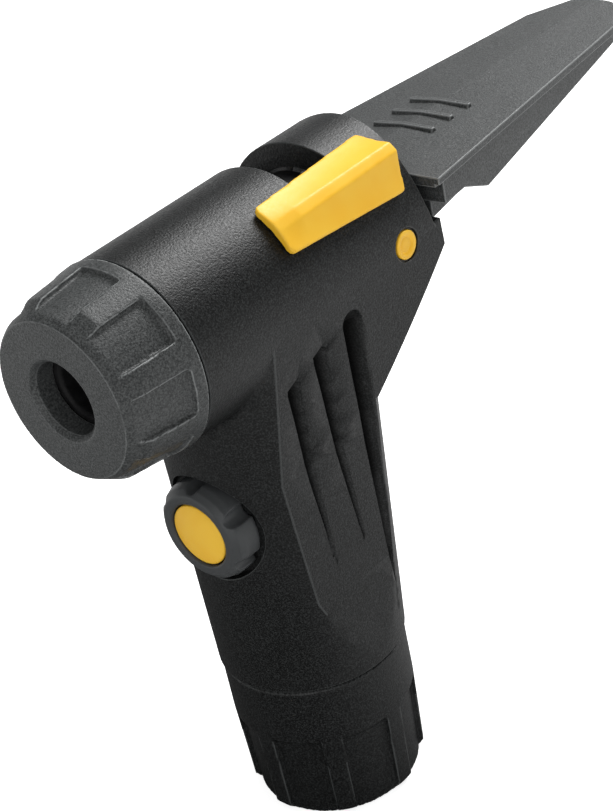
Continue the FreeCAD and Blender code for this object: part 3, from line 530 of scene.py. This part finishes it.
def flute_cutter(side, flute):
    """Wedge for one tapered flute, drawn down from its top to its end."""
    stations = []
    for index in range(FLUTE_STEPS + 1):
        share = index / FLUTE_STEPS
        stations.append(Station(*(a + share * (b - a) for a, b in zip(flute.top, flute.end))))
    places = [Vector((station.x, side * side_y(station.x, station.z), station.z)) for station in stations]
    bpy.ops.object.select_all(action="DESELECT")
    bpy.ops.mesh.primitive_circle_add(vertices=3, radius=flute.top.width, fill_type="NGON")
    cutter = bpy.context.object
    profile = [(VALLEY_ACROSS, -1.0), (-BRIM_ACROSS, BRIM_OUT), (BRIM_ACROSS, BRIM_OUT)]
    for corner, (across, out) in zip(cutter.data.vertices, profile):
        across *= flute.top.width
        corner.co = places[0] + Vector((across, side * out * flute.top.depth, -flute.slant * across))
    bpy.ops.object.mode_set(mode="EDIT")
    bpy.ops.mesh.select_all(action="SELECT")
    for index in range(FLUTE_STEPS):
        before, after = stations[index:index + 2]
        step = places[index + 1] - places[index]
        bpy.ops.mesh.extrude_region_move(TRANSFORM_OT_translate={"value": step})
        narrowing = (after.width / before.width, after.depth / before.depth, 1.0)
        bpy.ops.transform.resize(value=narrowing, center_override=places[index + 1])
    bpy.ops.mesh.select_all(action="SELECT")
    bpy.ops.mesh.normals_make_consistent(inside=False)
    bpy.ops.object.mode_set(mode="OBJECT")
    return cutter


def shape_body(piece):
    """Cuts the three V flutes into both sides of the stem."""
    for side in (1, -1):
        for flute in FLUTES:
            cutter = flute_cutter(side, flute)
            apply_modifier(piece, "carved", "BOOLEAN", operation="DIFFERENCE", solver="EXACT", object=cutter)
            bpy.data.objects.remove(cutter)


def shade_flutes(piece):
    """Marks how deep each spot lies in a flute, for the painted shade that darkens it."""
    spots = spots_of(piece)
    painted_flute_shade = np.zeros(len(spots))
    for top, end, _ in FLUTES:
        share = np.clip((top.z - spots[:, 2]) / (top.z - end.z), 0.0, 1.0)
        middle = top.x + share * (end.x - top.x)
        width = top.width + share * (end.width - top.width)
        inside = ((abs(spots[:, 0] - middle) < INSIDE_SHARE * width) & (abs(spots[:, 1]) > INSIDE_FROM_Y)
                  & (spots[:, 2] > end.z) & (spots[:, 2] < top.z + INSIDE_ABOVE))
        for index in np.flatnonzero(inside):
            x, y, z = spots[index]
            painted_flute_shade[index] = side_y(x, z) - abs(y)
    # The depth sets the share of painted shade, which is full at the darkest depth.
    mark(piece, "painted_flute_shade", np.clip(painted_flute_shade / DARKEST_DEPTH, 0.0, 1.0))


def in_bores_or_flutes(spot):
    """Whether a spot of the body lies in its bores or at the flutes."""
    in_barrel = spot.x > BARREL_BORE_END_X and math.hypot(spot.y, spot.z - BARREL_Z) < BARREL_BORE_R
    in_stem = math.hypot(spot.x, spot.y) < STEM_BORE_R and spot.z < STEM_BORE_TOP_Z
    at_flutes = FLUTES_X[0] < spot.x < FLUTES_X[1] and FLUTES_Z[0] < spot.z < FLUTES_Z[1]
    return in_barrel or in_stem or at_flutes


# Lever: the places of its tip, plate and neck, and how far its top falls to both sides of the ridge
TIP_X = -0.085
TIP_ROUNDING = 0.0022
PLATE_FRONT_X = -0.0285
PLATE_TOP_Z = BARREL_Z + 0.0062
NECK_X = -0.020
RIDGE_Z = BARREL_Z + 0.0065
RIDGE_HALF_WIDTH = 0.0003
TOP_FALL = 0.05


def shape_lever(piece):
    """Rounds the lever's near tip corner in plan and deepens the ridge along its top."""
    def tip_corner(first, second):
        steep = abs(first.z - second.z) > 0.5 * (first - second).length
        return steep and max(first.x, second.x) < TIP_X and first.y > 0

    def ridge(first, second):
        on_middle_line = max(abs(first.y), abs(second.y)) < RIDGE_HALF_WIDTH
        return on_middle_line and min(first.z, second.z) > RIDGE_Z

    round_edges(piece, tip_corner, TIP_ROUNDING)
    bpy.ops.object.mode_set(mode="EDIT")
    bpy.ops.mesh.select_all(action="SELECT")
    bpy.ops.mesh.bisect(plane_co=(0, 0, 0), plane_no=(0, 1, 0))
    bpy.ops.object.mode_set(mode="OBJECT")
    for spot in piece.data.vertices:
        if spot.co.z > PLATE_TOP_Z and spot.co.x < PLATE_FRONT_X:
            spot.co.z -= TOP_FALL * abs(spot.co.y)
    choose_edges(piece, ridge)
    bpy.ops.mesh.mark_sharp()
    bpy.ops.object.mode_set(mode="OBJECT")


def near_hub(spot):
    """Whether a spot of the lever lies on its hub or the front of its neck."""
    return spot.x > NECK_X


# Thumb tab: where its two ends begin, the rounding of its corners and the shortest edge that counts as one
TAB_REAR_X = -0.0220
TAB_FRONT_X = 0.0
TAB_ROUNDING = 0.0013
TAB_CORNER_LENGTH = 0.0004


def shape_tab(piece):
    """Rounds the tab's four corners in plan."""
    middle = Vector((0.0, 0.0, BARREL_Z))

    def corner(first, second):
        out = second - first
        radial = ((first + second) / 2 - middle) * Vector((0, 1, 1))
        along = abs(out.normalized().dot(radial.normalized()))
        near_end = max(first.x, second.x) < TAB_REAR_X or min(first.x, second.x) > TAB_FRONT_X
        return along > 0.8 and near_end and out.length > TAB_CORNER_LENGTH

    round_edges(piece, corner, TAB_ROUNDING)


# Hinge pin: each inset of its faces, from the rim to the dimple, as width and rise
PIN_INSETS = [(0.0006, 0.0), (0.00035, -0.0003), (0.0005, 0.0001)]


def shape_pin(piece):
    """Gives each pin face its rim and shallow dimple."""
    clear_choice(piece, "FACE")
    for face in piece.data.polygons:
        face.select = abs(face.normal.y) > 0.9
    bpy.ops.object.mode_set(mode="EDIT")
    for width, rise in PIN_INSETS:
        bpy.ops.mesh.inset(thickness=width, depth=rise)
    bpy.ops.object.mode_set(mode="OBJECT")


# Body and lever: node, piece, width of the rounded edges, own shaping, spared edges
STRAIGHT = [
    ("body", "body_moulding", 0.00016, shape_body, in_bores_or_flutes),
    ("lever", "lock_lever_moulding", 0.00020, shape_lever, near_hub),
]
# Smaller outer pieces: node, piece, grain of the even mesh, rounding passes, own shaping
COMPACT = [
    ("front_cap", "ribbed_cap", 0.00026, 6, None),
    ("lever_pin", "hinge_pin", 0.00015, 3, shape_pin),
    ("selector_tab", "thumb_tab", 0.00020, 10, shape_tab),
    ("selector_ring", "turning_ring", 0.00025, 3, None),
    ("bleed_bezel", "notched_bezel", 0.00018, 5, None),
    ("bleed_button", "push_button", 0.00018, 5, None),
    ("hose_collar", "ribbed_collar", 0.00034, 4, None),
    ("valve_seal", "valve_bush", 0.00025, 3, None),
]
for node_name, piece_name, width, shape, spared in STRAIGHT:
    piece = dressed_copy(node_name, piece_name)
    shape(piece)
    break_edges(piece, width, spared)
    if node_name == "body":
        shade_flutes(piece)
    hand_over(piece, node_name)
for node_name, piece_name, grain, passes, shape in COMPACT:
    piece = dressed_copy(node_name, piece_name)
    if shape:
        shape(piece)
    soften(piece, grain, passes)
    hand_over(piece, node_name)

for node_name, slot_name in SLOT_OF.items():
    for place in frame["nodes"][node_name].material_slots:
        place.material = FINISH_OF[slot_name].material


# Floor, backdrop and lamps
def add_floor():
    """Plain pale floor that keeps the object's shadow and shows white to the camera."""
    bpy.ops.object.select_all(action="DESELECT")
    bpy.ops.mesh.primitive_plane_add(size=8.0, location=(0, 0, -0.0002))
    floor = bpy.context.object
    floor.name = "studio_floor"
    ground = Finish("studio_floor", Roughness=0.9, Specular_IOR_Level=0.0, Emission_Strength=1.0)
    camera = ground.ray("Is Camera Ray")
    glossy = ground.ray("Is Glossy Ray")
    reach = ground.node("ShaderNodeVectorMath", {"operation": "LENGTH"}, {0: ground.place}, "Value")
    far = ground.ramp(reach, 0.10, 0.22, 0.0, 0.8)
    tab_side = ground.along("Y", ground.place) - ground.along("X", ground.place)
    bright = far.at_least(ground.mask(tab_side, 0.0, 0.12))
    ground.set("Base Color", ground.blend(glossy, grey(0.8), grey(0.08)))
    glow = camera * 0.5 + glossy * bright * 0.6
    ground.set("Emission Color", ground.blend(glow, grey(0.0), grey(1.5)))
    floor.data.materials.append(ground.material)


def add_world():
    """White backdrop for the camera and low reflections, dim light for the rest."""
    world = bpy.data.worlds.new("studio")
    bpy.context.scene.world = world
    world.use_nodes = True
    sky = Board(world.node_tree)
    direction = sky.node("ShaderNodeTexCoord", output="Generated")
    low = sky.ramp(sky.along("Z", direction), 0.22, 0.02, 0.1, 1.2)
    behind = sky.ramp(sky.along("Y", direction), 0.2, -0.3, 0.1, 1.0)
    clear = sky.ray("Is Camera Ray").at_least(sky.ray("Is Transmission Ray"))
    mirrored = sky.ray("Is Glossy Ray") * (low * behind)
    diffuse = sky.ray("Is Diffuse Ray") * 0.45
    background = sky.tree.nodes["Background"].inputs
    sky.feed(background["Color"], grey(1.0))
    sky.feed(background["Strength"], clear.at_least(mirrored).at_least(diffuse))


def add_lamp(name, direction, distance, size, watts):
    """Square soft lamp that faces the middle of the part."""
    middle = Vector((-0.02, 0.0, 0.06))
    lamp = bpy.data.lights.new(name, "AREA")
    lamp.size = size
    lamp.energy = watts
    holder = bpy.data.objects.new(name, lamp)
    away = Vector(direction).normalized()
    holder.location = middle + away * distance
    holder.rotation_euler = away.to_track_quat("Z", "Y").to_euler()
    bpy.context.scene.collection.objects.link(holder)


add_floor()
add_world()
add_lamp("overhead_softbox", (-0.61, -0.02, 0.79), 0.6, 0.34, 4.2)
add_lamp("side_softbox", (-0.55, 0.82, 0.12), 0.7, 0.4, 0.1)
add_lamp("front_fill", (0.80, 0.45, 0.30), 0.8, 0.5, 1.25)
